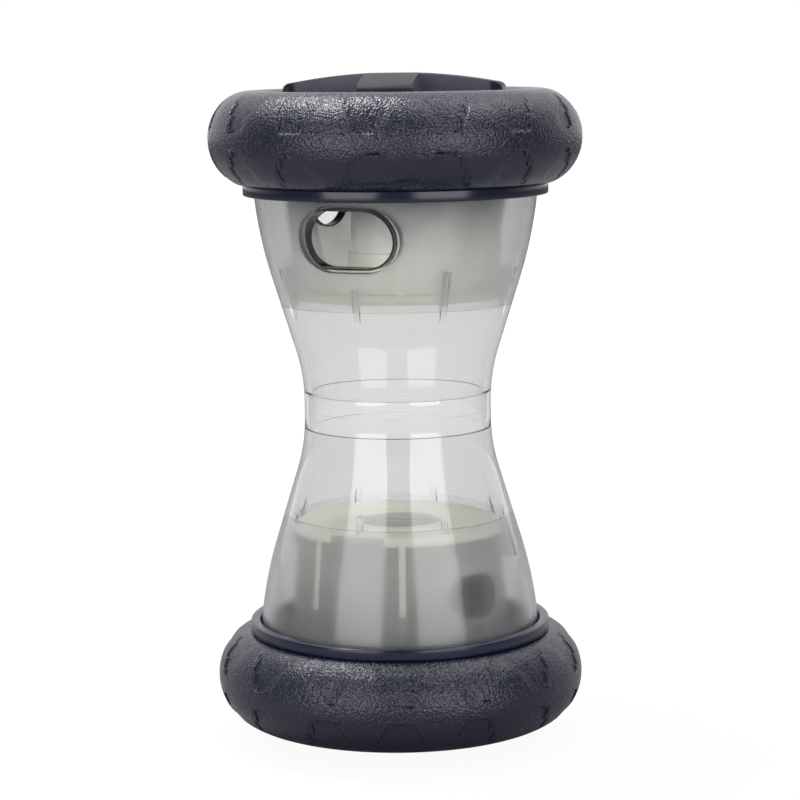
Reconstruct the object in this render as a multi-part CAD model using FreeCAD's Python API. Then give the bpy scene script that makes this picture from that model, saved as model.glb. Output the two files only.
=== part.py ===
import FreeCAD, Part
import math
import os

# Hourglass treat dispenser with a tyre at each end. Millimetres, +Z up. The origin is the
# middle of the flat crown that the toy stands on. Both ends are the same set of pieces: each
# piece is drawn once for the upper end, with heights counted up from the waist plane.

# Whole object
shell_turn = -20.75         # degrees about Z, from the -Y side, that the ports point to
cap_turn = -23.6            # degrees that the turning caps and cups are left at
upper_tyre_turn = -8.2      # degrees that each tyre's tread is left at
lower_tyre_turn = 12.0

# Shell: a waist arc, a straight flare and a shoulder arc
waist_radius = 27.85
neck_straight = 2.5         # height where the waist arc starts
neck_arc_radius = 52.0
flare_angle = 17.2          # degrees from upright
shoulder_start = 39.0       # height where the shoulder arc starts
shoulder_arc_radius = 129.0
shell_wall = 2.4
shell_end = 68.0            # height of the shell's wide end
frost_line = 31.9           # height where the frosted, slightly thinner wall starts
frost_step = 0.15
throat_relief = 1.15        # wall of the neck inside the waist ring

# Waist ring over the butted necks
ring_half_height = 5.4

# Treat port in the shell, tapering inwards, at the height of the cup's large opening
port_width = 30.4
port_tall = 19.8
port_taper = 1.0            # narrowing on each side through the wall

# Guide fins inside the shell
fin_count = 8
fin_tip = 28.3              # height of the pointed end
fin_drop = 9.3              # blunt end below the middle of the port
port_fin_end = 38.5         # the fin below the port is cut short
back_fin_end = 33.2         # three fins across from the port stop before the cup
back_fins = (3, 4, 5)
fin_thickness = 1.8

# Cup that chooses the treat opening
cup_floor_low = 33.9
cup_floor_thick = 2.9
rim_gap = 1.72              # cup's rim to the clear wall of the shell
cup_taper = 0.095           # growth of the radius for each millimetre of height
cup_wall = 1.6
cup_end_gap = 0.3           # cup end to the hub's web
collar_height = 6.8
post_proud = 0.8
post_width = 2.0
post_length = 20.0
port_post_length = 9.2      # the posts below the port liner are cut short
post_spread = 25.0          # degrees either side of the port and of its opposite side
notch_half_angle = 16.5
notch_depth = 3.0

# Central tube, pressed into a socket on the cup's floor
tube_outer = 13.4
tube_wall = 1.6
tube_rise = 4.4             # past the hub's web, into the cap
tube_mouth = 13.2
socket_wall = 0.8
socket_height = 10.1

# Openings of the cup, each with its top edge a little short of the cap's skirt
window_spread = 112.0       # degrees from the large opening to each of the others
liner_wall = 0.5
liner_width = 29.0
liner_tall = 17.4
liner_drop = 2.6
liner_reach = 2.4           # inner ends of the liners, inwards from the cup's rim
gate_drop = 4.2
gate_width = 20.0
gate_tall = 13.2
gate_wall = 1.2
gate_skin = 0.8
skin_inset = 0.9            # slit skin, inwards from the cup's rim
gate_slit = 0.6
small_drop = 0.7
small_radius = 7.5
small_tall = 10.6

# Hub that carries the tyre
flange_width = 2.81
socket_depth = 4.3          # shell inside the flange
flange_thick = 3.4
flange_edge = 0.8
drum_wall = 1.7
web_thick = 2.0
socket_gap = 1.6            # shell end to the web, filled by the gasket
rim_proud = 0.9             # cup's rim past the bore of the barrel
barrel_wall = 2.5
lip_rise = 9.3              # top of the hub above the middle of the tyre
lip_proud = 1.1
lip_height = 1.2

# Tyre
tyre_section_radial = 12.5  # half width of the oval section
tyre_bite = 2.5             # part of the oval's width that the bore takes away
tyre_section_tall = 13.9    # half height of the oval section
tyre_foot = 0.7             # part of the oval's height that the flange takes away
tyre_groove_tall = 9.0      # lightening groove in the bore
tyre_tread_wall = 8.0       # rubber left outside the groove
tread_count = 15            # pockets in each of the two rows
tread_depth = 0.5
tread_band_half = 2.7       # plain band along the middle
tread_reach = 12.6          # height of a pocket's far end above the middle
tread_near_half = 3.65      # half width at the plain band
tread_far_half = 8.0

# Turning cap with a cross grip
crown_rise = 9.3            # flat crown above the top of the hub
cap_overhang = 0.5          # cap past the hub's barrel
crown_flat_radius = 8.0
dome_radius = 165.0
cap_shoulder = 2.6
cap_rim_rise = 2.6          # outer rim above the top of the hub
cross_turn = 18.5           # degrees from the port liner to a grip arm
arm_width = 15.7
arm_wall = 2.0
pocket_sink = 3.1           # pocket floor below the top of the hub
pocket_rim = 3.6            # wall outside the finger pockets
pocket_corner = 2.5
floor_thick = 2.0
skirt_reach = 5.6           # skirt past the hub's web, into the cup
skirt_wall = 2.3
tab_count = 3
tab_width = 6.0
tab_proud = 1.2
tab_tall = 2.5
tab_rise = 1.0              # from the end of the skirt

# Seals
gasket_inset = 0.1
cord_radius = 0.8           # section of the cap's sealing ring
cord_rise = 10.4            # above the hub's web
groove_depth = 1.65

# Clearances
running_fit = 0.08          # radial, between pieces that turn or slide on each other
seat_fit = 0.03             # radial, between pieces fixed to each other
free_gap = 0.35             # between pieces that pass without touching
cap_gap = 0.1               # cap flange to the hub's rim
tab_play = 0.15

# Derived sizes of the shell
flare = math.radians(flare_angle)
neck_centre_radius = waist_radius + neck_arc_radius
neck_end_radius = neck_centre_radius - neck_arc_radius * math.cos(flare)
neck_end_height = neck_straight + neck_arc_radius * math.sin(flare)
shoulder_radius = neck_end_radius + (shoulder_start - neck_end_height) * math.tan(flare)
shoulder_centre_radius = shoulder_radius - shoulder_arc_radius * math.cos(flare)
shoulder_centre_height = shoulder_start + shoulder_arc_radius * math.sin(flare)
margin = 1.0                # extra length of cutting bodies past a surface


def at(radius, height):
    return FreeCAD.Vector(radius, 0, height)


def turned(edges):
    face = Part.Face(Part.Wire(edges))
    return face.revolve(FreeCAD.Vector(0, 0, 0), FreeCAD.Vector(0, 0, 1), 360)


def lines(points):
    return [Part.LineSegment(a, b).toShape() for a, b in zip(points, points[1:])]


def turned_polygon(pairs):
    points = [at(radius, height) for radius, height in pairs]
    return turned(lines(points + points[:1]))


def disc(radius, low, high):
    return Part.makeCylinder(radius, high - low, at(0, low))


def ring(inner, outer, low, high):
    return disc(outer, low, high).cut(disc(inner, low - margin, high + margin))


def spun(shape, degrees):
    copy = shape.copy()
    copy.rotate(FreeCAD.Vector(0, 0, 0), FreeCAD.Vector(0, 0, 1), degrees)
    return copy


# The flare is one curve, used at any depth below the shell's outer surface
def flare_breaks(inset):
    neck_end = neck_straight + (neck_arc_radius + inset) * math.sin(flare)
    return [neck_straight, neck_end, shoulder_start + inset * math.sin(flare)]


def flare_radius(height, inset):
    straight, neck_end, shoulder = flare_breaks(inset)
    if height <= straight:
        return waist_radius - inset
    if height <= neck_end:
        arc = neck_arc_radius + inset
        return neck_centre_radius - math.sqrt(arc ** 2 - (height - neck_straight) ** 2)
    if height <= shoulder:
        arc_end = neck_centre_radius - (neck_arc_radius + inset) * math.cos(flare)
        return arc_end + (height - neck_end) * math.tan(flare)
    arc = shoulder_arc_radius - inset
    return shoulder_centre_radius + math.sqrt(arc ** 2 - (shoulder_centre_height - height) ** 2)


def flare_edges(inset, low, high):
    breaks = flare_breaks(inset)
    stops = [low] + [stop for stop in breaks if low < stop < high] + [high]
    edges = []
    for start, end in zip(stops, stops[1:]):
        middle = (start + end) / 2
        first, mid, last = [at(flare_radius(z, inset), z) for z in (start, middle, end)]
        bent = breaks[0] < middle < breaks[1] or middle > breaks[2]
        edges.append((Part.Arc(first, mid, last) if bent else Part.LineSegment(first, last)).toShape())
    return edges


def flare_body(inset, low, high):
    inner_end = at(flare_radius(low, inset), low)
    outer_end = at(flare_radius(high, inset), high)
    return turned(flare_edges(inset, low, high)
                  + lines([outer_end, at(0, high), at(0, low), inner_end]))


# Derived heights, from the waist outwards
flange_low = shell_end - socket_depth
flange_top = flange_low + flange_thick
web_low = shell_end + socket_gap
web_top = web_low + web_thick
tyre_height = flange_top + tyre_section_tall - tyre_foot
hub_top = tyre_height + lip_rise
waist_to_crown = hub_top + crown_rise
cap_rim_top = hub_top + cap_rim_rise
pocket_floor = hub_top - pocket_sink
skirt_end = web_low - skirt_reach
tab_height = skirt_end + tab_rise
cord_height = web_low + cord_rise
cup_floor_top = cup_floor_low + cup_floor_thick
cup_end = web_low - cup_end_gap
collar_low = cup_end - collar_height
socket_top = cup_floor_top + socket_height
tube_end = web_low + tube_rise
port_height = skirt_end - liner_drop - liner_tall / 2
gate_height = skirt_end - gate_drop - gate_tall / 2
small_low = skirt_end - small_drop - small_tall
fin_end = port_height - fin_drop

# Derived distances from the axis
rim_radius = flare_radius(cup_floor_low, shell_wall) - rim_gap
liner_back = rim_radius - liner_reach
gate_skin_radius = rim_radius - skin_inset
barrel_bore = rim_radius - rim_proud
barrel_radius = barrel_bore + barrel_wall
skirt_radius = barrel_bore - running_fit
tube_bore = tube_outer - tube_wall
hub_bore = flare_radius(shell_end, 0) + running_fit
drum_radius = hub_bore + drum_wall
flange_radius = hub_bore + flange_width
tyre_radius = barrel_radius - tyre_bite + 2 * tyre_section_radial
tyre_centre_radius = tyre_radius - tyre_section_radial
tyre_groove_radius = tyre_radius - tyre_tread_wall
cap_radius = barrel_radius + cap_overhang
pocket_radius = cap_radius - pocket_rim


# Oval bars that point out of the port side, for openings and their liners
def oval(width, tall, height, depth):
    end = tall / 2
    flat = width / 2 - end
    corners = [FreeCAD.Vector(x, -depth, height + z)
               for x, z in ((-flat, end), (flat, end), (flat, -end), (-flat, -end))]
    right = FreeCAD.Vector(flat + end, -depth, height)
    left = FreeCAD.Vector(-flat - end, -depth, height)
    return Part.Wire([Part.LineSegment(corners[0], corners[1]).toShape(),
                      Part.Arc(corners[1], right, corners[2]).toShape(),
                      Part.LineSegment(corners[2], corners[3]).toShape(),
                      Part.Arc(corners[3], left, corners[0]).toShape()])


def arched(radius, tall, low, depth):
    top = low + tall
    points = [FreeCAD.Vector(x, -depth, z)
              for x, z in ((-radius, low + radius), (-radius, top), (radius, top), (radius, low + radius))]
    foot = FreeCAD.Vector(0, -depth, low)
    return Part.Wire(lines(points) + [Part.Arc(points[3], foot, points[0]).toShape()])


def bar(wire, length):
    return Part.Face(wire).extrude(FreeCAD.Vector(0, -length, 0))


def oval_bar(width, tall, height, near, far):
    return bar(oval(width, tall, height, near), far - near)


def arched_bar(radius, tall, low, near, far):
    return bar(arched(radius, tall, low, near), far - near)


def plate(pairs, thickness):
    points = [at(radius, height) - FreeCAD.Vector(0, thickness / 2, 0) for radius, height in pairs]
    face = Part.Face(Part.Wire(lines(points + points[:1])))
    slab = face.extrude(FreeCAD.Vector(0, thickness, 0))
    return spun(slab, -90)


# Cup wall and posts share one taper
def cup_radius(height):
    return rim_radius - post_proud + cup_taper * (height - cup_floor_top)


def cup_body():
    low = cup_floor_top
    return turned_polygon([(0, low), (cup_radius(low), low), (cup_radius(cup_end), cup_end), (0, cup_end)])


def make_shell():
    shell = flare_body(0, ring_half_height, shell_end)
    neck = waist_radius - shell_wall + throat_relief
    shell = shell.fuse(disc(neck, 0, ring_half_height))
    shell = shell.cut(flare_body(shell_wall, -margin, frost_line))
    shell = shell.cut(flare_body(shell_wall - frost_step, frost_line, shell_end + margin))
    post_edge = rim_radius + cup_taper * (fin_end - cup_floor_top) + free_gap
    slope = (post_edge - flare_radius(fin_tip, shell_wall)) / (fin_end - fin_tip)
    for index in range(fin_count):
        end = port_fin_end if index == 0 else back_fin_end if index in back_fins else fin_end
        tip_radius = flare_radius(fin_tip, shell_wall)
        end_radius = tip_radius + slope * (end - fin_tip)
        root = shell_wall / 2
        outline = [(tip_radius, fin_tip), (end_radius, end), (flare_radius(end, root), end),
                   (flare_radius(fin_tip, root), fin_tip)]
        shell = shell.fuse(spun(plate(outline, fin_thickness), index * 360 / fin_count))
    outside = flare_radius(port_height + port_tall / 2, 0) + margin
    inside = flare_radius(port_height - port_tall / 2, shell_wall) - 2 * margin
    wide = oval(port_width, port_tall, port_height, outside)
    narrow = oval(port_width - 2 * port_taper, port_tall - 2 * port_taper, port_height, inside)
    return shell.cut(Part.makeLoft([wide, narrow], True, True)).removeSplitter()


def make_waist_ring():
    outside = flare_body(0, 0, ring_half_height)
    outside = outside.fuse(outside.mirror(FreeCAD.Vector(0, 0, 0), FreeCAD.Vector(0, 0, 1)))
    bore = waist_radius - shell_wall + throat_relief + seat_fit
    height = ring_half_height + margin
    return outside.cut(disc(bore, -height, height)).removeSplitter()


def make_hub():
    lip = barrel_radius + lip_proud
    outline = [(hub_bore, flange_low), (flange_radius, flange_low), (flange_radius, flange_top),
               (drum_radius, flange_top), (drum_radius, web_top), (barrel_radius, web_top),
               (barrel_radius, hub_top - lip_height), (lip, hub_top - lip_height), (lip, hub_top),
               (barrel_bore, hub_top), (barrel_bore, web_low), (hub_bore, web_low)]
    hub = turned_polygon(outline)
    rounded = [edge for edge in hub.Edges if abs(edge.BoundBox.XMax - flange_radius) < 0.01
               and edge.BoundBox.ZLength < 0.01]
    return hub.makeFillet(flange_edge, rounded)


# The tread's floor keeps the section's height, so its pockets fade out at the sidewalls
def tyre_oval(depth):
    centre = at(tyre_centre_radius, tyre_height)
    crest = centre + at(0, tyre_section_tall)
    ellipse = Part.Ellipse(crest, centre + at(tyre_section_radial - depth, 0), centre)
    return turned([ellipse.toShape()])


def tread_pockets():
    corners = [(-tread_near_half, tread_band_half), (-tread_far_half, tread_reach),
               (tread_far_half, tread_reach), (tread_near_half, tread_band_half)]
    blocks = []
    for side in (-1, 1):
        points = [FreeCAD.Vector(x, -tyre_centre_radius, tyre_height + side * z) for x, z in corners]
        face = Part.Face(Part.Wire(lines(points + points[:1])))
        block = face.extrude(FreeCAD.Vector(0, -tyre_section_radial - margin, 0))
        blocks += [spun(block, index * 360 / tread_count) for index in range(tread_count)]
    return Part.makeCompound(blocks).cut(tyre_oval(tread_depth))


def make_tyre():
    seat = disc(flange_radius + margin, flange_low, flange_top)
    seat = seat.fuse(disc(drum_radius + seat_fit, flange_low, web_top))
    seat = seat.fuse(disc(barrel_radius + seat_fit, flange_low, hub_top + margin))
    lip = disc(barrel_radius + lip_proud + seat_fit, hub_top - lip_height - seat_fit, hub_top + 3 * margin)
    groove = disc(tyre_groove_radius, tyre_height - tyre_groove_tall / 2, tyre_height + tyre_groove_tall / 2)
    return tyre_oval(0).cut(groove).cut(seat).cut(lip).cut(tread_pockets()).removeSplitter()


def make_cup():
    socket = tube_outer + seat_fit
    collar = skirt_radius + seat_fit
    outline = [(tube_mouth, cup_floor_low), (rim_radius, cup_floor_low), (rim_radius, cup_floor_top),
               (cup_radius(cup_floor_top), cup_floor_top), (cup_radius(cup_end), cup_end),
               (collar, cup_end), (collar, collar_low), (cup_radius(collar_low) - cup_wall, collar_low),
               (cup_radius(cup_floor_top) - cup_wall, cup_floor_top),
               (socket + socket_wall, cup_floor_top), (socket + socket_wall, socket_top),
               (socket, socket_top), (socket, cup_floor_top), (tube_bore, cup_floor_top),
               (tube_bore, cup_floor_low + tube_mouth - tube_bore)]
    cup = turned_polygon(outline)
    for side, length in ((0, port_post_length), (180, post_length)):
        post_top = cup_floor_top + length
        post = plate([(cup_radius(cup_floor_top) - cup_wall / 2, cup_floor_top), (rim_radius, cup_floor_top),
                      (cup_radius(post_top) + post_proud, post_top),
                      (cup_radius(post_top) - cup_wall / 2, post_top)], post_width)
        for spread in (-post_spread, post_spread):
            cup = cup.fuse(spun(post, side + spread))
    inner = rim_radius - notch_depth
    notch = ring(inner, rim_radius + margin, cup_floor_low - margin, cup_floor_top)
    reach = 2 * rim_radius
    side = reach * math.tan(math.radians(notch_half_angle))
    wedge = Part.makePolygon([FreeCAD.Vector(0, 0, 0), FreeCAD.Vector(-side, reach, 0),
                              FreeCAD.Vector(side, reach, 0), FreeCAD.Vector(0, 0, 0)])
    wedge = Part.Face(wedge).extrude(FreeCAD.Vector(0, 0, cup_floor_top))
    cup = cup.cut(notch.common(wedge))
    cup = cup.cut(oval_bar(liner_width, liner_tall, port_height, liner_back - margin, flange_radius))
    gate = oval_bar(gate_width, gate_tall, gate_height, liner_back - 2 * margin, flange_radius)
    cup = cup.cut(spun(gate, window_spread))
    small = arched_bar(small_radius, small_tall, small_low, liner_back - margin, flange_radius)
    cup = cup.cut(spun(small, -window_spread))
    for index in range(tab_count):
        slot = Part.makeBox(tab_width + 2 * tab_play, skirt_radius + tab_proud + tab_play,
                            tab_tall + 2 * tab_play)
        slot.translate(FreeCAD.Vector(-tab_width / 2 - tab_play, 0, tab_height - tab_play))
        cup = cup.cut(spun(slot, index * 360 / tab_count))
    return cup.removeSplitter()


def make_tube():
    return ring(tube_bore, tube_outer, cup_floor_top, tube_end)


def make_port_liner():
    bore_width = liner_width - 2 * liner_wall
    bore_tall = liner_tall - 2 * liner_wall
    far = flange_radius
    liner = oval_bar(liner_width - 2 * seat_fit, liner_tall - 2 * seat_fit, port_height, liner_back, far)
    liner = liner.cut(oval_bar(bore_width, bore_tall, port_height, liner_back - margin, far + margin))
    return liner.common(flare_body(shell_wall + free_gap, cup_floor_top, shell_end))


def make_flap_gate():
    bore_width = gate_width - 2 * gate_wall
    bore_tall = gate_tall - 2 * gate_wall
    far = flange_radius
    gate = oval_bar(gate_width - 2 * seat_fit, gate_tall - 2 * seat_fit, gate_height, liner_back, far)
    gate = gate.cut(oval_bar(bore_width, bore_tall, gate_height, liner_back - margin, far + margin))
    gate = gate.common(cup_body())
    skin = oval_bar(gate_width - gate_wall, gate_tall - gate_wall, gate_height,
                    gate_skin_radius - gate_skin, gate_skin_radius)
    flat = bore_width / 2 - bore_tall / 2
    reach = gate_skin_radius + margin
    level = Part.makeBox(bore_width, reach, gate_slit)
    level.translate(FreeCAD.Vector(-bore_width / 2, -reach, gate_height - gate_slit / 2))
    skin = skin.cut(level)
    for x in (-flat, 0, flat):
        upright = Part.makeBox(gate_slit, reach, bore_tall)
        upright.translate(FreeCAD.Vector(x - gate_slit / 2, -reach, gate_height - bore_tall / 2))
        skin = skin.cut(upright)
    return spun(gate.fuse(skin).removeSplitter(), window_spread)


def make_small_liner():
    far = flange_radius
    liner = arched_bar(small_radius - seat_fit, small_tall - 2 * seat_fit, small_low + seat_fit,
                       liner_back, far)
    bore = arched_bar(small_radius - liner_wall, small_tall - 2 * liner_wall, small_low + liner_wall,
                      liner_back - margin, far + margin)
    return spun(liner.cut(bore).common(cup_body()), -window_spread)


def dome_height(radius):
    drop = math.sqrt(dome_radius ** 2 - crown_flat_radius ** 2) - math.sqrt(dome_radius ** 2 - radius ** 2)
    return waist_to_crown - drop


def make_cap():
    low = hub_top + cap_gap
    shoulder = cap_radius - cap_shoulder
    bend = math.radians(45)
    shoulder_low = dome_height(shoulder) - cap_shoulder
    bend_point = at(shoulder + cap_shoulder * math.cos(bend), shoulder_low + cap_shoulder * math.sin(bend))
    dome_middle = (crown_flat_radius + shoulder) / 2
    dome = turned(lines([at(0, waist_to_crown), at(0, low), at(cap_radius, low), at(cap_radius, shoulder_low)])
                  + [Part.Arc(at(cap_radius, shoulder_low), bend_point, at(shoulder, dome_height(shoulder))).toShape(),
                     Part.Arc(at(shoulder, dome_height(shoulder)), at(dome_middle, dome_height(dome_middle)),
                              at(crown_flat_radius, waist_to_crown)).toShape()]
                  + lines([at(crown_flat_radius, waist_to_crown), at(0, waist_to_crown)]))
    top = waist_to_crown + margin
    half = cap_radius + margin
    cross = Part.makeBox(arm_width, 2 * half, top - pocket_floor + margin,
                         FreeCAD.Vector(-arm_width / 2, -half, pocket_floor - margin))
    cross = cross.fuse(spun(cross, 90))
    hollow = disc(pocket_radius, pocket_floor, top).fuse(ring(pocket_radius - margin, half, cap_rim_top, top))
    pockets = hollow.cut(cross)
    corners = [edge for edge in pockets.Edges if edge.BoundBox.ZLength > top - pocket_floor - 0.01
               and math.hypot(edge.CenterOfMass.x, edge.CenterOfMass.y) < arm_width]
    pockets = pockets.makeFillet(pocket_corner, corners)
    cap = dome.fuse(disc(skirt_radius, skirt_end, low)).cut(pockets)
    cap = cap.cut(disc(skirt_radius - skirt_wall, skirt_end - margin, pocket_floor - floor_thick))
    arm_hollow = arm_width - 2 * arm_wall
    reach = math.sqrt((skirt_radius - skirt_wall) ** 2 - (arm_hollow / 2) ** 2)
    hollow_top = dome_height(reach) - arm_wall
    channel = Part.makeBox(arm_hollow, 2 * reach, hollow_top - skirt_end,
                           FreeCAD.Vector(-arm_hollow / 2, -reach, skirt_end))
    cap = cap.cut(channel.fuse(spun(channel, 90)))
    cap = spun(cap, cross_turn)
    groove = ring(skirt_radius - groove_depth, skirt_radius + margin, cord_height - cord_radius - seat_fit,
                  cord_height + cord_radius + seat_fit)
    cap = cap.cut(groove)
    for index in range(tab_count):
        tab = Part.makeBox(tab_width, skirt_radius + tab_proud - skirt_wall / 2, tab_tall)
        tab.translate(FreeCAD.Vector(-tab_width / 2, 0, tab_height))
        tab = tab.cut(disc(skirt_radius - skirt_wall / 2, tab_height - margin, tab_height + tab_tall + margin))
        cap = cap.fuse(spun(tab, index * 360 / tab_count))
    return cap.removeSplitter()


def make_gasket():
    outer = flare_radius(shell_end, 0) - gasket_inset
    inner = flare_radius(shell_end, shell_wall)
    return ring(inner, outer, shell_end + gasket_inset, web_low)


def make_cap_ring():
    centre = barrel_bore - running_fit / 2 - cord_radius
    return Part.makeTorus(centre, cord_radius, at(0, cord_height))


def placed(shape, upper, turn):
    copy = shape.copy()
    if not upper:
        copy.rotate(FreeCAD.Vector(0, 0, 0), FreeCAD.Vector(1, 0, 0), 180)
    copy = spun(copy, turn)
    copy.translate(at(0, waist_to_crown))
    return copy


os.makedirs("parts", exist_ok=True)
drawn_once = {
    "shell": (make_shell(), shell_turn),
    "hub": (make_hub(), shell_turn),
    "gasket": (make_gasket(), shell_turn),
    "cap": (make_cap(), cap_turn),
    "cap_ring": (make_cap_ring(), cap_turn),
    "cup": (make_cup(), cap_turn),
    "tube": (make_tube(), cap_turn),
    "port_liner": (make_port_liner(), cap_turn),
    "flap_gate": (make_flap_gate(), cap_turn),
    "small_liner": (make_small_liner(), cap_turn),
}
tyre = make_tyre()
nodes = {
    "waist_ring": placed(make_waist_ring(), True, 0),
    "upper_tyre": placed(tyre, True, upper_tyre_turn),
    "lower_tyre": placed(tyre, False, lower_tyre_turn),
}
for name, (shape, turn) in drawn_once.items():
    nodes["upper_" + name] = placed(shape, True, turn)
    nodes["lower_" + name] = placed(shape, False, turn)
for name, shape in nodes.items():
    shape.exportStep("parts/" + name + ".step")
    print(name, "solids", len(shape.Solids), "valid", shape.isValid(), "volume", round(shape.Volume))
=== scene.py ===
import bpy
import math
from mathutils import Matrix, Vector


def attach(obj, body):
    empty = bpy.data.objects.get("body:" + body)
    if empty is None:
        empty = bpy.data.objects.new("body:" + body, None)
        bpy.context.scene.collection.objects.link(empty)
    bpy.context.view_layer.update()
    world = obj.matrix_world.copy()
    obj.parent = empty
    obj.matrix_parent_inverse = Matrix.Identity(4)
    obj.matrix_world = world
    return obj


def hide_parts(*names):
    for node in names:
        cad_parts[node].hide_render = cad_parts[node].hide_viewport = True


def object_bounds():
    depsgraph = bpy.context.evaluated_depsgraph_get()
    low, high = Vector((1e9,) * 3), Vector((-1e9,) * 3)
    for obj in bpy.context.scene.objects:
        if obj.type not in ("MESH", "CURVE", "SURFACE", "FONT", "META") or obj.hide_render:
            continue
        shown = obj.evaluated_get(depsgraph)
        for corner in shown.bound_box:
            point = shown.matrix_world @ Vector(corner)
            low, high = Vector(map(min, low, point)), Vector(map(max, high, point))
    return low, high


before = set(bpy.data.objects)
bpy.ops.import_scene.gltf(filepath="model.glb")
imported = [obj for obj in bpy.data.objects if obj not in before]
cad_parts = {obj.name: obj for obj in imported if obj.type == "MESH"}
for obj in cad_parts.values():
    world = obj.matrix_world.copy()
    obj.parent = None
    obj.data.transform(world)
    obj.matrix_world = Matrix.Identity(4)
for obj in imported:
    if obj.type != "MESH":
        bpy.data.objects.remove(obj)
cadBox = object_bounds()                                # the CAD model's own box
waist = (cadBox[0].z + cadBox[1].z) / 2             # both ends mirror about this height
metres = 0.001                                      # of one millimetre
weld = 0.002                                        # millimetres within which points become one

# Pieces are modelled in millimetres for the upper end, heights counted from the waist, ports
# towards -Y. seatAtEnds() then brings each one to metres and to its place at either end. The
# materials read these dictionaries too.
turns = {"shell": (-20.75, -20.75), "cap": (-23.6, -23.6), "tyre": (-8.2, 12.0)}     # upper, lower end
tyre = {"radius": 55.0, "halfWidth": 12.5, "halfTall": 13.9, "height": 80.3, "seat": 67.1, "seatGap": 0.05,
        "bore": [(33.7, 88.4), (32.6, 88.3), (32.6, 71.7), (43.7, 71.7), (43.7, 67.15)], "innerEnd": 0.80,
        "pitches": 15, "depth": 0.5, "band": 2.7, "reach": 12.6, "nearHalf": 3.65, "farHalf": 8.0,
        "points": 44, "steps": 12, "overlap": 0.5, "slack": 0.01, "edge": 0.07}
cup = {"floor": 33.9, "floorThick": 2.9, "rim": 30.9, "taper": 0.095, "wall": 1.6, "end": 69.3, "collar": 6.8,
       "skirtGap": 0.05, "proud": 0.8, "post": 2.0, "portPost": 9.2, "farPost": 20.0, "spread": 25.0,
       "postRoot": 1.0, "postInset": 0.1, "postEdge": 0.25, "notchHalf": 16.5, "notchDepth": 3.0,
       "notchTall": 5.0, "notchPast": 4.0, "tube": 13.4, "tubeWall": 1.6, "tubeEnd": 74.0, "tubeFit": 0.03,
       "tubeEdge": 0.3, "mouth": 13.2, "socket": 14.23, "socketHeight": 10.1, "window": 112.0, "edge": 0.35,
       "steps": 160}
liner = {"width": 29.0, "tall": 17.4, "back": 28.5, "margin": 1.0, "front": 40.0, "gateHeight": 53.2,
         "gateWidth": 20.0, "gateTall": 13.2, "smallLow": 52.7, "smallRadius": 7.5, "smallTall": 10.6,
         "slack": 0.01}


def deselectAll():
    if bpy.context.object and bpy.context.object.mode != "OBJECT":
        bpy.ops.object.mode_set(mode="OBJECT")
    bpy.ops.object.select_all(action="DESELECT")


def makeActive(piece):
    deselectAll()
    piece.select_set(True)
    bpy.context.view_layer.objects.active = piece


def editAll(piece):
    makeActive(piece)
    bpy.ops.object.mode_set(mode="EDIT")
    bpy.ops.mesh.select_all(action="SELECT")


def finishEdit():
    bpy.ops.object.mode_set(mode="OBJECT")
    return bpy.context.object


def cleanUp(piece):                                 # weld seams and poles, face everything outwards
    editAll(piece)
    bpy.ops.mesh.remove_doubles(threshold=weld)
    bpy.ops.mesh.normals_make_consistent(inside=False)
    return finishEdit()


def drawOutline(name, points):                      # a chain of edges in the XZ plane
    deselectAll()
    bpy.ops.mesh.primitive_plane_add(size=1)
    bpy.context.object.name = name
    bpy.ops.object.mode_set(mode="EDIT")
    bpy.ops.mesh.merge(type="CENTER")
    bpy.ops.transform.translate(value=(points[0][0], 0, points[0][1]))
    for (x, z), (nextX, nextZ) in zip(points, points[1:]):
        step = (nextX - x, 0, nextZ - z)
        bpy.ops.mesh.extrude_vertices_move(TRANSFORM_OT_translate={"value": step})
    return finishEdit()


def turnOutline(name, points, steps):               # a closed outline spun round the Z axis
    piece = drawOutline(name, points + points[:1])
    editAll(piece)
    bpy.ops.mesh.spin(steps=steps, angle=2 * math.pi, center=(0, 0, 0), axis=(0, 0, 1))
    finishEdit()
    return cleanUp(piece)


def plate(name, points, thickness):                 # a flat outline in the XZ plane, thickened along Y
    piece = drawOutline(name, points + points[:1])
    editAll(piece)
    bpy.ops.mesh.remove_doubles(threshold=weld)
    bpy.ops.mesh.edge_face_add()
    bpy.ops.transform.translate(value=(0, -thickness / 2, 0))
    bpy.ops.mesh.extrude_region_move(TRANSFORM_OT_translate={"value": (0, thickness, 0)})
    finishEdit()
    return cleanUp(piece)


def bar(name, width, tall, height, near, far, taper=0.0, sides=96):     # an oval bar towards -Y
    radius = tall / 2
    deselectAll()
    bpy.ops.mesh.primitive_cylinder_add(vertices=sides, radius=radius, depth=far - near,
                                        location=(0, 0, 0), rotation=(math.pi / 2, 0, 0))
    piece = bpy.context.object
    piece.name = name
    bpy.ops.object.transform_apply(location=True, rotation=True, scale=True)
    for side in (-1, 1):
        selectWhere(piece, lambda p: p.x * side > weld)
        bpy.ops.transform.translate(value=(side * (width / 2 - radius), 0, 0))
        finishEdit()
    if taper:
        selectWhere(piece, lambda p: p.y > 0)
        scale = (1 - 2 * taper / width, 1, 1 - 2 * taper / tall)
        bpy.ops.transform.resize(value=scale, center_override=(0, 0, 0))
        finishEdit()
    return moved(piece, (0, -(near + far) / 2, height))


def selectWhere(piece, test):                       # select vertices by place and stay in edit mode
    editAll(piece)
    bpy.ops.mesh.select_all(action="DESELECT")
    finishEdit()
    for vertex in piece.data.vertices:
        vertex.select = test(vertex.co)
    for edge in piece.data.edges:
        edge.select = all(piece.data.vertices[index].select for index in edge.vertices)
    for face in piece.data.polygons:
        face.select = all(piece.data.vertices[index].select for index in face.vertices)
    bpy.ops.object.mode_set(mode="EDIT")


def moved(piece, step):
    makeActive(piece)
    piece.location = step
    bpy.ops.object.transform_apply(location=True, rotation=True, scale=True)
    return piece


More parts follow.
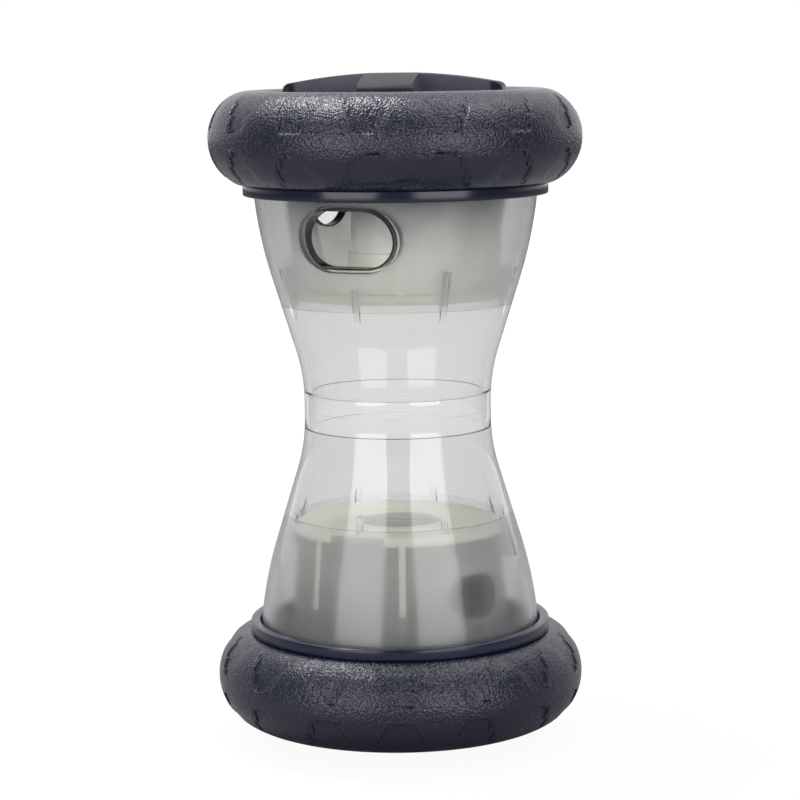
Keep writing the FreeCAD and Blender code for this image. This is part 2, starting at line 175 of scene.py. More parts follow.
def turned(piece, degrees):                         # about the toy's own axis
    makeActive(piece)
    piece.rotation_euler = (0, 0, math.radians(degrees))
    bpy.ops.object.transform_apply(location=True, rotation=True, scale=True)
    return piece


def copied(piece, name):
    makeActive(piece)
    bpy.ops.object.duplicate(linked=False)
    bpy.context.object.name = name
    return bpy.context.object


def carve(piece, tool, operation):                  # boolean with a tool that is used up
    makeActive(piece)
    change = piece.modifiers.new("carve", "BOOLEAN")
    change.operation = operation
    change.solver = "EXACT"
    change.object = tool
    bpy.ops.object.modifier_apply(modifier=change.name)
    bpy.data.objects.remove(tool)
    return piece


def roundEdges(piece, width, segments=2, degrees=35):
    makeActive(piece)
    edge = piece.modifiers.new("rounding", "BEVEL")
    edge.width = width
    edge.segments = segments
    edge.limit_method = "ANGLE"
    edge.angle_limit = math.radians(degrees)
    edge.harden_normals = False
    bpy.ops.object.modifier_apply(modifier=edge.name)
    return piece


def smoothed(piece, degrees=35):
    makeActive(piece)
    bpy.ops.object.shade_smooth_by_angle(angle=math.radians(degrees))
    return piece


def seatPiece(piece, name, end, turn, bodyName, node, material):
    copy = copied(piece, name)
    copy.scale = (metres, metres, metres)
    copy.rotation_euler = (0 if end == "upper" else math.pi, 0, math.radians(turn))
    copy.location = (0, 0, waist)
    bpy.ops.object.transform_apply(location=True, rotation=True, scale=True)
    copy.data.materials.clear()
    copy.data.materials.append(material)
    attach(copy, bodyName)
    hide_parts(node)


def seatAtEnds(patterns, turnName, bodyName):     # each name's pattern and material, used up
    for end, turn in zip(("upper", "lower"), turns[turnName]):
        body = bodyName if bodyName == "shells" else end + "_" + bodyName
        for name, (piece, material) in patterns.items():
            seatPiece(piece, end + name, end, turn, body, end + "_" + name.lower(), material)
    for piece, material in patterns.values():
        bpy.data.objects.remove(piece)


# Shell: the flared curve, used at any depth below its outer face
flare = {"waistRadius": 27.85, "neckStraight": 2.5, "neckArc": 52.0, "slope": math.radians(17.2),
         "shoulderStart": 39.0, "shoulderArc": 129.0}


def flareRadius(height, inset):
    slope = flare["slope"]
    neckCentre = flare["waistRadius"] + flare["neckArc"]
    neckEnd = flare["neckStraight"] + (flare["neckArc"] + inset) * math.sin(slope)
    outerNeckEnd = flare["neckStraight"] + flare["neckArc"] * math.sin(slope)
    shoulder = flare["shoulderStart"] + inset * math.sin(slope)
    if height <= flare["neckStraight"]:
        return flare["waistRadius"] - inset
    if height <= neckEnd:
        arc = flare["neckArc"] + inset
        return neckCentre - math.sqrt(arc ** 2 - (height - flare["neckStraight"]) ** 2)
    if height <= shoulder:
        atNeck = neckCentre - (flare["neckArc"] + inset) * math.cos(slope)
        return atNeck + (height - neckEnd) * math.tan(slope)
    atShoulder = neckCentre - flare["neckArc"] * math.cos(slope) + math.tan(slope) * (
        flare["shoulderStart"] - outerNeckEnd)
    centreRadius = atShoulder - flare["shoulderArc"] * math.cos(slope)
    centreHeight = flare["shoulderStart"] + flare["shoulderArc"] * math.sin(slope)
    arc = flare["shoulderArc"] - inset
    return centreRadius + math.sqrt(arc ** 2 - (centreHeight - height) ** 2)


def heights(low, high, count):
    return [low + (high - low) * index / count for index in range(count + 1)]


shell = {"wall": 2.4, "end": 68.0, "frostLine": 31.9, "frostStep": 0.15, "stepRise": 0.05, "relief": 1.15,
         "ring": 5.4, "ringFit": 0.03, "port": 52.7, "portWidth": 30.4, "portTall": 19.8, "portTaper": 1.0,
         "cutInside": 2.0, "cutOutside": 1.0, "fins": 8, "finTip": 28.3, "finEnd": 43.4, "portFinEnd": 38.5,
         "backFins": (3, 4, 5), "backFinEnd": 33.2, "finThickness": 1.8, "finInner": 31.88, "outerSteps": 36,
         "innerSteps": 20, "ringSteps": 16, "steps": 192}


# Materials
class Signal:                                       # a socket that takes part in plain sums
    def __init__(self, nodes, socket):
        self.nodes = nodes
        self.socket = socket

    def __add__(self, other):
        return self.nodes.maths("ADD", self, other)

    def __radd__(self, other):
        return self.nodes.maths("ADD", other, self)

    def __sub__(self, other):
        return self.nodes.maths("SUBTRACT", self, other)

    def __rsub__(self, other):
        return self.nodes.maths("SUBTRACT", other, self)

    def __mul__(self, other):
        return self.nodes.maths("MULTIPLY", self, other)

    def __rmul__(self, other):
        return self.nodes.maths("MULTIPLY", other, self)

    def __gt__(self, other):
        return self.nodes.maths("GREATER_THAN", self, other)

    def __abs__(self):
        return self.nodes.maths("ABSOLUTE", self)


class Nodes:                                        # a node tree under construction
    def __init__(self, tree):
        self.tree = tree
        self.tree.nodes.clear()

    def node(self, kind, settings=None, sockets=None):
        made = self.tree.nodes.new(kind)
        for key, value in (settings or {}).items():
            setattr(made, key, value)
        for key, value in (sockets or {}).items():
            self.feed(made.inputs[key], value)
        return made

    def feed(self, socket, value):
        if isinstance(value, Signal):
            value = value.socket
        if isinstance(value, bpy.types.NodeSocket):
            self.tree.links.new(value, socket)
        else:
            socket.default_value = value

    def maths(self, operation, first, second=0.0):
        made = self.node("ShaderNodeMath", {"operation": operation}, {0: first, 1: second})
        return Signal(self, made.outputs[0])

    def ramp(self, value, low, high):
        sockets = {"Value": value, "From Min": low, "From Max": high}
        made = self.node("ShaderNodeMapRange", {"clamp": True}, sockets)
        return Signal(self, made.outputs[0])

    def colourMix(self, factor, first, second):
        made = self.node("ShaderNodeMix", {"data_type": "RGBA"}, {0: factor, 6: first, 7: second})
        return made.outputs[2]

    def shaderMix(self, factor, first, second):
        return self.node("ShaderNodeMixShader", {}, {0: factor, 1: first.outputs[0], 2: second.outputs[0]})


class Finish(Nodes):                                # one material
    def __init__(self, name, **sockets):
        self.material = bpy.data.materials.new(name)
        self.material.use_nodes = True
        super().__init__(self.material.node_tree)
        self.shader = self.node("ShaderNodeBsdfPrincipled", {}, sockets)
        self.output = self.node("ShaderNodeOutputMaterial", {}, {"Surface": self.shader.outputs[0]})
        self.place = self.node("ShaderNodeTexCoord").outputs["Object"]

    def noise(self, scale, detail=4.0, roughness=0.5, at=None):
        sockets = {"Vector": at or self.place, "Scale": scale, "Detail": detail, "Roughness": roughness}
        return Signal(self, self.node("ShaderNodeTexNoise", {}, sockets).outputs["Fac"])

    def axis(self, letter):
        split = self.node("ShaderNodeSeparateXYZ", {}, {0: self.place})
        return Signal(self, split.outputs[letter])

    def fromAxis(self):                             # distance from the toy's own axis
        across, along = (self.axis(letter) for letter in "XY")
        return self.maths("SQRT", across * across + along * along)

    def set(self, name, value):
        self.feed(self.shader.inputs[name], value)

    def bump(self, height, strength, distance, under=None):
        sockets = {"Height": height, "Strength": strength, "Distance": distance}
        if under:
            sockets["Normal"] = under
        self.set("Normal", self.node("ShaderNodeBump", {}, sockets).outputs[0])

    def blend(self, factor, first, second):         # two shaders by a factor, straight to the surface
        mix = self.shaderMix(factor, first, second)
        self.feed(self.output.inputs["Surface"], mix.outputs[0])
        return mix

    def passLamps(self, colour, surface):           # lamps light what is behind this plastic
        hole = self.node("ShaderNodeBsdfTransparent", {}, {"Color": colour})
        self.blend(self.node("ShaderNodeLightPath").outputs["Is Shadow Ray"], surface, hole)


def tyreRubber():                                   # grain worn smoother low down, crisp tread ledges
    look = {"dark": (0.0050, 0.0066, 0.0200, 1), "worn": (0.0080, 0.0098, 0.0250, 1),
            "blotches": (35.0, 3.0), "patch": (0.35, 0.7), "flow": 700.0, "flowDetail": 3.0,
            "wander": 0.0009, "cells": 1400.0, "cellBlend": 0.3, "creases": (1050.0, 3.0, 0.6),
            "dull": (0.35, 0.65), "smooth": 0.16, "rough": 0.28, "pebble": 0.8, "crease": 1.1,
            "strength": 0.7, "height": 0.00028, "fade": 0.004, "wornDown": 0.15, "ledge": 0.0006,
            "soft": 0.0004, "lead": 0.006, "step": 0.4}
    finish = Finish("tyreRubber", **{"Specular IOR Level": 0.6})
    wander = finish.node("ShaderNodeTexNoise", {}, {"Vector": finish.place, "Scale": look["flow"],
                                                    "Detail": look["flowDetail"]})
    bend = (look["wander"],) * 3
    bent = finish.node("ShaderNodeVectorMath", {"operation": "MULTIPLY_ADD"},
                       {0: wander.outputs["Color"], 1: bend, 2: finish.place})
    cells = finish.node("ShaderNodeTexVoronoi", {"feature": "SMOOTH_F1"},
                        {"Vector": bent.outputs[0], "Scale": look["cells"], "Smoothness": look["cellBlend"]})
    pebbles = 1.0 - Signal(finish, cells.outputs["Distance"])
    creases = finish.noise(*look["creases"], bent.outputs[0])
    blotches = finish.ramp(finish.noise(*look["blotches"]), *look["patch"])
    across, along, height = (finish.axis(letter) for letter in "XYZ")
    height = height - waist
    upper = height > 0
    rise = abs(height) - metres * tyre["height"]
    outward = rise * (upper * 2 - 1)
    low = look["wornDown"]
    grain = finish.ramp(outward, -2 * look["fade"], -look["fade"]) * (1 - low) + low
    upperTurn, lowerTurn = turns["tyre"]
    middle = upper * math.radians(upperTurn - lowerTurn - 180) + math.radians(lowerTurn + 180)
    azimuth = finish.maths("ARCTAN2", across, 0.0 - along)
    apart = finish.maths("PINGPONG", azimuth - middle, math.pi / tyre["pitches"])
    aside = finish.fromAxis() * finish.maths("SINE", apart)
    band, reach, near, far = (metres * tyre[key] for key in ("band", "reach", "nearHalf", "farHalf"))
    inBand = abs(rise) - band
    inSide = near + inBand * ((far - near) / (reach - band)) - aside
    sunk = (finish.ramp(inBand, 0.0, look["lead"]) * (1 - look["step"])
            + finish.ramp(inBand, -look["soft"], look["soft"]) * look["step"])
    depth = sunk * finish.ramp(inSide, -look["soft"], 0.0) * finish.ramp(inBand, reach - band, 0.0)
    finish.set("Base Color", finish.colourMix(blotches, look["dark"], look["worn"]))
    dull = finish.ramp(creases, *look["dull"])
    finish.set("Roughness", dull * (look["rough"] - look["smooth"]) + look["smooth"])
    tread = finish.node("ShaderNodeBump", {}, {"Height": 1.0 - depth, "Strength": 1.0,
                                               "Distance": look["ledge"]})
    finish.bump((pebbles * look["pebble"] + creases * look["crease"]) * grain, look["strength"],
                look["height"], tread.outputs[0])
    return finish.material


def navyPlastic(name, colour, rough):
    look = {"flow": (60.0, 3.0), "patch": (0.3, 0.7), "paler": 1.35, "speckle": (900.0, 2.0), "dull": 0.08,
            "waves": (160.0, 2.0), "strength": 0.12, "height": 0.0001}
    finish = Finish(name, **{"Specular IOR Level": 0.5})
    lighter = tuple(look["paler"] * value for value in colour) + (1,)
    patch = finish.ramp(finish.noise(*look["flow"]), *look["patch"])
    finish.set("Base Color", finish.colourMix(patch, colour + (1,), lighter))
    finish.set("Roughness", finish.noise(*look["speckle"]) * look["dull"] + rough)
    finish.bump(finish.noise(*look["waves"]), look["strength"], look["height"])
    return finish.material


def clearPlastic():                                 # smoky, frosted on the inner faces past a line
    look = {"clear": (0.93, 0.935, 0.92, 1), "thin": (0.98, 0.985, 0.975, 1), "haze": (0.80, 0.80, 0.80, 1),
            "band": 0.0054, "bandEdge": 0.0002, "lineEdge": 0.1, "faceEdge": 0.0001, "polish": 0.015,
            "satin": 0.12, "frost": 0.06, "grain": (500.0, 3.0), "grainShare": 0.05, "waves": (70.0, 2.0),
            "wave": 0.06, "sand": (1500.0, 2.0), "sandShare": 0.12, "height": 0.0001, "veil": 0.30,
            "veilRough": 0.55, "cloud": (40.0, 2.0), "cloudShare": 0.2, "lamps": (0.98, 0.98, 0.98, 1),
            "smoke": (0.5, 0.5, 0.52, 1), "density": 125.0}
    glass = {"Transmission Weight": 1.0, "IOR": 1.49}
    finish = Finish("clearPlastic", **glass)
    height = abs(finish.axis("Z") - waist)
    low, high = shell["frostLine"], shell["end"]
    ends = [flareRadius(level, shell["wall"] / 2) for level in (low, (low + high) / 2, high)]
    beyond = height * (1 / metres) - low
    climb = beyond * (1 / (high - low))
    bulge = 2 * (ends[0] + ends[2]) - 4 * ends[1]       # middle of the wall, as a parabola over the height
    middle = (climb * climb * bulge + climb * (ends[2] - ends[0] - bulge) + ends[0]) * metres
    past = finish.ramp(beyond, -look["lineEdge"], look["lineEdge"])
    frosted = finish.ramp(middle - finish.fromAxis(), -look["faceEdge"], look["faceEdge"]) * past
    bandEnd = finish.ramp(height, look["band"], look["band"] + look["bandEdge"])
    smoky = finish.colourMix(bandEnd, look["thin"], look["clear"])
    finish.set("Base Color", finish.colourMix(frosted, smoky, look["haze"]))
    rough = finish.noise(*look["grain"]) * look["grainShare"] + look["frost"] - look["satin"]
    finish.set("Roughness", frosted * rough + past * look["satin"] + look["polish"])
    sand = finish.noise(*look["sand"]) * past * look["sandShare"]
    finish.bump(finish.noise(*look["waves"]) * look["wave"] + sand, 1.0, look["height"])
    veil = finish.node("ShaderNodeBsdfPrincipled", {}, {"Base Color": look["haze"],
                                                        "Roughness": look["veilRough"], **glass})
    cloud = finish.noise(*look["cloud"]) * look["cloudShare"] + (look["veil"] - look["cloudShare"] / 2)
    finish.passLamps(look["lamps"], finish.blend(frosted * cloud, finish.shader, veil))
    smoke = finish.node("ShaderNodeVolumeAbsorption", {}, {"Color": look["smoke"],
                                                           "Density": look["density"]})
    finish.feed(finish.output.inputs["Volume"], smoke.outputs[0])
    return finish.material


def milkyPlastic(name, transmission):               # ribs and the rim paler than the wall, partly from scattering and partly painted shade; painted shade also at the lower end and near the hub
    look = {"low": (0.47, 0.47, 0.455, 1), "high": (0.88, 0.88, 0.84, 1), "ends": (0.06, 0.14),
            "shadeNearHub": (0.26, 0.26, 0.27, 1), "shadeHeights": (0.060, 0.085), "cloud": (60.0, 2.0), "drift": 0.03,
            "thick": (0.95, 0.96, 0.84, 1), "ribs": (0.0002, 0.0005), "rim": (0.0348, 0.0342), "rough": 0.35,
            "speckle": (700.0, 2.0), "dull": 0.1, "sand": (900.0, 2.0), "strength": 0.15, "height": 0.00005,
            "lamps": (0.97, 0.98, 0.95, 1)}
    finish = Finish(name, **{"Transmission Weight": transmission, "IOR": 1.45})
    height = finish.axis("Z")
    rise = abs(height - waist)
    floorTop = metres * (cup["floor"] + cup["floorThick"])
    wall = (rise - floorTop) * cup["taper"] + metres * (cup["rim"] - cup["proud"])
    # ribs and rim paler than the wall between them: partly thicker plastic that scatters more, partly painted
    # shade on the wall
    thick = finish.maths("MAXIMUM", finish.ramp(finish.fromAxis() - wall, *look["ribs"]),
                         finish.ramp(rise, *look["rim"]))
    # painted shade: the lower end's colour is darker than the upper end's
    end = finish.colourMix(finish.ramp(height, *look["ends"]), look["low"], look["high"])
    # painted shade: the colour darkens towards the hub and cap, with a cloudy edge
    cloud = finish.ramp(finish.noise(*look["cloud"]) * look["drift"] + rise, *look["shadeHeights"])
    thin = finish.colourMix(cloud, end, look["shadeNearHub"])
    finish.set("Base Color", finish.colourMix(thick, thin, look["thick"]))
    finish.set("Roughness", finish.noise(*look["speckle"]) * look["dull"] + look["rough"])
    finish.bump(finish.noise(*look["sand"]), look["strength"], look["height"])
    finish.passLamps(look["lamps"], finish.shader)
    return finish.material


def gateRubber():                                   # soft skin, paler towards its rim
    look = {"middle": (0.045, 0.046, 0.055, 1), "edge": (0.16, 0.16, 0.165, 1), "radius": 0.0318,
            "spread": (0.0055, 0.0100), "cloud": (300.0, 2.0), "drift": 0.002, "sand": (900.0, 2.0),
            "strength": 0.1, "height": 0.00005}
    finish = Finish("gateRubber", Roughness=0.5)
    reach = None
    for side, turn in zip((1, -1), turns["cap"]):
        angle = math.radians(turn + (cup["window"] if side == 1 else 180 - cup["window"]))
        rise = side * metres * liner["gateHeight"]
        centre = (look["radius"] * math.sin(angle), -look["radius"] * math.cos(angle), waist + rise)
        apart = finish.node("ShaderNodeVectorMath", {"operation": "DISTANCE"}, {0: finish.place, 1: centre})
        near = Signal(finish, apart.outputs["Value"])
        reach = finish.maths("MINIMUM", reach, near) if reach else near
    spread = finish.ramp(finish.noise(*look["cloud"]) * look["drift"] + reach, *look["spread"])
    finish.set("Base Color", finish.colourMix(spread, look["middle"], look["edge"]))
    finish.bump(finish.noise(*look["sand"]), look["strength"], look["height"])
    return finish.material


def gripPlastic():                                  # dull grained top, smoother walls, painted shade on the arms' outer ends
    look = {"top": (0.030, 0.031, 0.038, 1), "wall": (0.105, 0.103, 0.136, 1),
            "end": (0.020, 0.021, 0.026, 1), "slopes": (0.35, 0.7), "shadedEndRadius": 0.0290, "shadedEndEdge": 0.001,
            "gloss": 0.24, "dull": 0.22, "speckle": 0.2, "grain": 1500.0, "grainRough": 0.7, "even": 0.1,
            "strength": 0.5, "height": 0.0002}
    finish = Finish("gripPlastic", **{"Specular IOR Level": 0.2})
    normal = finish.node("ShaderNodeNewGeometry").outputs["Normal"]
    facing = Signal(finish, finish.node("ShaderNodeSeparateXYZ", {}, {0: normal}).outputs["Z"])
    top = finish.ramp(abs(facing), *look["slopes"])
    # painted shade: the arms' outer end faces take the darker end colour
    end = finish.ramp(finish.fromAxis(), look["shadedEndRadius"], look["shadedEndRadius"] + look["shadedEndEdge"])
    wall = finish.colourMix(end, look["wall"], look["end"])
    finish.set("Base Color", finish.colourMix(top, wall, look["top"]))
    dulling = finish.noise(look["grain"], 2.0) * look["speckle"] + look["dull"]
    finish.set("Roughness", look["gloss"] + dulling * top)
    grain = finish.noise(look["grain"], 3.0, look["grainRough"]) * (look["even"] + top * (1 - look["even"]))
    finish.bump(grain, look["strength"], look["height"])
    return finish.material


print("materials")
materials = {
    "tyre": tyreRubber(),
    "hub": navyPlastic("navyHub", (0.006, 0.009, 0.025), 0.14),
    "liner": navyPlastic("navyLiner", (0.010, 0.011, 0.020), 0.22),
    "seal": navyPlastic("softSeal", (0.012, 0.013, 0.018), 0.45),
    "clear": clearPlastic(),
    "milky": milkyPlastic("milkyPlastic", 0.65),
    "tube": milkyPlastic("tubePlastic", 0.1),
    "gate": gateRubber(),
    "grip": gripPlastic(),
}


# Clear shells, and the ring over their necks
def makeShell():
    wall, end, frostLine = shell["wall"], shell["end"], shell["frostLine"]
    thin = wall - shell["frostStep"]
    neck = flare["waistRadius"] - wall + shell["relief"]
    stepEnd = frostLine - shell["stepRise"]
    outer = [(flareRadius(z, 0), z) for z in heights(shell["ring"], end, shell["outerSteps"])]
    frosted = [(flareRadius(z, thin), z) for z in heights(end, frostLine, shell["innerSteps"])]
    clear = [(flareRadius(z, wall), z) for z in heights(stepEnd, 0, shell["innerSteps"])]
    piece = turnOutline("shell", [(neck, 0), (neck, shell["ring"])] + outer + frosted + clear, shell["steps"])
    tip = shell["finTip"]
    tipRadius = flareRadius(tip, wall)
    slope = (shell["finInner"] - tipRadius) / (shell["finEnd"] - tip)
    fins = []
    for index in range(shell["fins"]):
        finEnd = shell["backFinEnd"] if index in shell["backFins"] else shell["finEnd"]
        if index == 0:                              # the fin below the port
            finEnd = shell["portFinEnd"]
        corners = [(tipRadius, tip), (tipRadius + slope * (finEnd - tip), finEnd),
                   (flareRadius(finEnd, wall / 2), finEnd), (flareRadius(tip, wall / 2), tip)]
        fins.append(turned(plate("fin", corners, shell["finThickness"]), index * 360 / shell["fins"] - 90))
    for fin in fins:
        carve(piece, fin, "UNION")
    near = flareRadius(shell["port"] - shell["portTall"] / 2, wall) - shell["cutInside"]
    far = flareRadius(shell["port"] + shell["portTall"] / 2, 0) + shell["cutOutside"]
    carve(piece, bar("port", shell["portWidth"], shell["portTall"], shell["port"], near, far,
                     shell["portTaper"]), "DIFFERENCE")
    return smoothed(piece, 30)


def makeWaistRing():
    ring = shell["ring"]
    bore = flare["waistRadius"] - shell["wall"] + shell["relief"] + shell["ringFit"]
    outer = [(flareRadius(abs(z), 0), z) for z in heights(-ring, ring, shell["ringSteps"])]
    return smoothed(turnOutline("waistRing", [(bore, -ring)] + outer + [(bore, ring)], shell["steps"]), 30)


print("shells")
seatAtEnds({"Shell": (makeShell(), materials["clear"])}, "shell", "shells")
waistRing = makeWaistRing()
seatPiece(waistRing, "waistBand", "upper", 0, "shells", "waist_ring", materials["clear"])
bpy.data.objects.remove(waistRing)

# Hub: flange, shell socket and the barrel that the cap turns in
hub = {"flange": 45.05, "low": 63.7, "thick": 3.4, "wall": 1.7, "fit": 0.08, "web": 69.6, "webTop": 71.6,
       "barrel": 32.5, "barrelBore": 30.0, "top": 89.6, "lip": 33.6, "lipHeight": 1.2, "edge": 0.5,
       "steps": 160}


def makeHub():
    bore = flareRadius(shell["end"], 0) + hub["fit"]
    socket = bore + hub["wall"]
    flangeTop = hub["low"] + hub["thick"]
    lipLow = hub["top"] - hub["lipHeight"]
    points = [(bore, hub["low"]), (hub["flange"], hub["low"]), (hub["flange"], flangeTop),
              (socket, flangeTop), (socket, hub["webTop"]), (hub["barrel"], hub["webTop"]),
              (hub["barrel"], lipLow), (hub["lip"], lipLow), (hub["lip"], hub["top"]),
              (hub["barrelBore"], hub["top"]), (hub["barrelBore"], hub["web"]), (bore, hub["web"])]
    piece = turnOutline("hub", points, hub["steps"])
    return smoothed(roundEdges(piece, hub["edge"], 3, 60), 40)


print("hubs")
seatAtEnds({"Hub": (makeHub(), materials["hub"])}, "shell", "end")


def makeTyre():                                     # one tread pitch is modelled, then spun round as copies
    centre = tyre["radius"] - tyre["halfWidth"]
    middle = tyre["height"]
    start = -math.asin((middle - tyre["seat"] - tyre["seatGap"]) / tyre["halfTall"])
    stop = math.pi - math.asin(tyre["innerEnd"])
    outline = list(tyre["bore"])
    for angle in heights(start, stop, tyre["points"]):
        height = middle + tyre["halfTall"] * math.sin(angle)
        outline.append((centre + tyre["halfWidth"] * math.cos(angle), height))
    piece = drawOutline("tyre", outline + outline[:1])
    pitch = 2 * math.pi / tyre["pitches"]
    editAll(piece)
    bpy.ops.mesh.remove_doubles(threshold=weld)
    bpy.ops.mesh.spin(steps=tyre["steps"], angle=pitch, center=(0, 0, 0), axis=(0, 0, 1))
    finishEdit()
    turned(cleanUp(piece), -90 + math.degrees(pitch) / 2)
    wider, further = tyre["farHalf"] - tyre["nearHalf"], tyre["reach"] - tyre["band"]

    def outside(point):                             # on the tread's side of the ring
        return math.hypot(point.x, point.y) > centre

    for row in (-1, 1):
        for side in (-1, 1):
            selectWhere(piece, lambda p: (p.z - middle) * row > -tyre["overlap"] and outside(p))
            corner = (side * tyre["nearHalf"], 0, middle + row * tyre["band"])
            bpy.ops.mesh.bisect(plane_co=corner, plane_no=(side * further, 0, -row * wider))
            finishEdit()
        for level in (tyre["band"], tyre["reach"]):
            selectWhere(piece, outside)
            bpy.ops.mesh.bisect(plane_co=(0, 0, middle + row * level), plane_no=(0, 0, 1))
            finishEdit()

    def inPocket(point):
        rise = abs(point.z - middle)
        half = tyre["nearHalf"] + (rise - tyre["band"]) * wider / further
        return (tyre["band"] - tyre["slack"] < rise < tyre["reach"] + tyre["slack"]
                and abs(point.x) < half + tyre["slack"] and outside(point))

    selectWhere(piece, inPocket)
    bpy.ops.mesh.extrude_region_move(TRANSFORM_OT_translate={"value": (0, 0, 0)})
    finishEdit()
    pocketFloor = piece.vertex_groups.new(name="pocketFloor")
    for vertex in piece.data.vertices:                  # the floor rises to nothing at the sidewall
        if vertex.select:
            rise = (abs(vertex.co.z - middle) - tyre["band"]) / further
            pocketFloor.add([vertex.index], math.sqrt(max(0.0, 1 - rise ** 2)), "REPLACE")
    sink = piece.modifiers.new("sink", "DISPLACE")
    sink.direction = "Y"
    sink.mid_level = 0
    sink.strength = tyre["depth"]
    sink.vertex_group = "pocketFloor"
    bpy.ops.object.modifier_apply(modifier=sink.name)
    editAll(piece)
    bpy.ops.mesh.spin(steps=tyre["pitches"] - 1, angle=2 * math.pi - pitch, center=(0, 0, 0),
                      axis=(0, 0, 1), dupli=True)
    finishEdit()
    cleanUp(piece)
    return smoothed(roundEdges(piece, tyre["edge"], 2, 50), 25)


print("tyres")
seatAtEnds({"Tyre": (makeTyre(), materials["tyre"])}, "tyre", "end")


# Cup that turns inside the shell, and the tube pressed into its floor
def cupRadius(height):
    return cup["rim"] - cup["proud"] + cup["taper"] * (height - cup["floor"] - cup["floorThick"])


def makeNotch(floorTop):                            # a wedge out of the rim, towards the back
    half = math.radians(cup["notchHalf"])
    reach = cup["rim"] + cup["notchPast"]
    inner = cup["rim"] - cup["notchDepth"]
    wedge = [(math.sin(half) * inner, inner), (math.sin(half) * reach, reach),
             (-math.sin(half) * reach, reach), (-math.sin(half) * inner, inner)]
    notch = drawOutline("notch", wedge + wedge[:1])
    editAll(notch)
    bpy.ops.mesh.remove_doubles(threshold=weld)
    bpy.ops.mesh.edge_face_add()
    bpy.ops.mesh.extrude_region_move(TRANSFORM_OT_translate={"value": (0, cup["notchTall"], 0)})
    finishEdit()
    makeActive(notch)
    notch.rotation_euler = (math.pi / 2, 0, 0)
    bpy.ops.object.transform_apply(location=True, rotation=True, scale=True)
    cleanUp(notch)
    if sum(vertex.co.y for vertex in notch.data.vertices) < 0:
        turned(notch, 180)
    lowest = min(vertex.co.z for vertex in notch.data.vertices)
    return moved(notch, (0, 0, floorTop - cup["notchTall"] - lowest))


def makeCup():
    floorTop = cup["floor"] + cup["floorThick"]
    collarLow = cup["end"] - cup["collar"]
    socketTop = floorTop + cup["socketHeight"]
    tubeBore = cup["tube"] - cup["tubeWall"]
    tubeHole = cup["tube"] + cup["tubeFit"]
    skirt = hub["barrelBore"] - cup["skirtGap"]
    inner = cupRadius(floorTop) - cup["wall"]
    points = [(cup["mouth"], cup["floor"]), (cup["rim"], cup["floor"]), (cup["rim"], floorTop),
              (cupRadius(floorTop), floorTop), (cupRadius(cup["end"]), cup["end"]), (skirt, cup["end"]),
              (skirt, collarLow), (cupRadius(collarLow) - cup["wall"], collarLow), (inner, floorTop),
              (cup["socket"], floorTop), (cup["socket"], socketTop), (tubeHole, socketTop),
              (tubeHole, floorTop), (tubeBore, floorTop), (tubeBore, cup["floor"] + cup["mouth"] - tubeBore)]
    piece = roundEdges(turnOutline("cup", points, cup["steps"]), cup["edge"], 2, 30)
    proud = cup["rim"] - cup["postInset"]
    root = floorTop - cup["postRoot"]
    for side, length in ((0, cup["portPost"]), (180, cup["farPost"])):
        top = floorTop + length
        for spread in (-cup["spread"], cup["spread"]):
            corners = [(cupRadius(floorTop) - cup["wall"] / 2, root), (proud, root), (proud, floorTop),
                       (cupRadius(top) + cup["proud"], top), (cupRadius(top) - cup["wall"] / 2, top)]
            post = roundEdges(plate("post", corners, cup["post"]), cup["postEdge"], 2, 60)
            carve(piece, turned(post, side + spread - 90), "UNION")
    carve(piece, makeNotch(floorTop), "DIFFERENCE")
    near, far = liner["back"] - liner["margin"], liner["front"]
    carve(piece, bar("window", liner["width"], liner["tall"], shell["port"], near, far), "DIFFERENCE")
    gate = bar("gate", liner["gateWidth"], liner["gateTall"], liner["gateHeight"],
               near - liner["margin"], far)
    carve(piece, turned(gate, cup["window"]), "DIFFERENCE")
    low = liner["smallLow"] + liner["smallRadius"]
    small = bar("small", 2 * liner["smallRadius"], 2 * liner["smallRadius"], low, near, far)
    selectWhere(small, lambda p: p.z > low + liner["slack"])
    bpy.ops.transform.resize(value=(1, 1, 0), center_override=(0, 0, low + liner["slack"]))
    bpy.ops.transform.translate(value=(0, 0, liner["smallTall"] - liner["smallRadius"]))
    finishEdit()
    carve(piece, turned(cleanUp(small), -cup["window"]), "DIFFERENCE")
    return smoothed(piece, 30)


def makeTube():
    low = cup["floor"] + cup["floorThick"]
    bore = cup["tube"] - cup["tubeWall"]
    points = [(bore, low), (cup["tube"], low), (cup["tube"], cup["tubeEnd"]), (bore, cup["tubeEnd"])]
    return smoothed(roundEdges(turnOutline("tube", points, cup["steps"]), cup["tubeEdge"], 2, 60), 40)


print("selector cups and tubes")
inner = {"Cup": (makeCup(), materials["milky"]), "Tube": (makeTube(), materials["tube"])}
seatAtEnds(inner, "cap", "selector")

# Turning cap with its domed cross grip
cap = {"radius": 33.0, "crown": 98.9, "flat": 8.0, "dome": 165.0, "domeSteps": 12, "domeStart": 1.0,
       "shoulder": 2.6, "shoulderSteps": 8, "rim": 92.2, "rimGap": 0.1, "turn": 18.5, "arm": 15.7,
       "armLong": 2.2, "armTall": 20.0, "floor": 86.5, "pocket": 29.4, "floorThick": 2.0, "skirtEnd": 64.0,
       "skirt": 29.92, "skirtWall": 2.3, "margin": 2.0, "edge": 0.9, "steps": 160}


def domeHeight(radius):
    flatRise = math.sqrt(cap["dome"] ** 2 - cap["flat"] ** 2)
    return cap["crown"] - flatRise + math.sqrt(cap["dome"] ** 2 - radius ** 2)


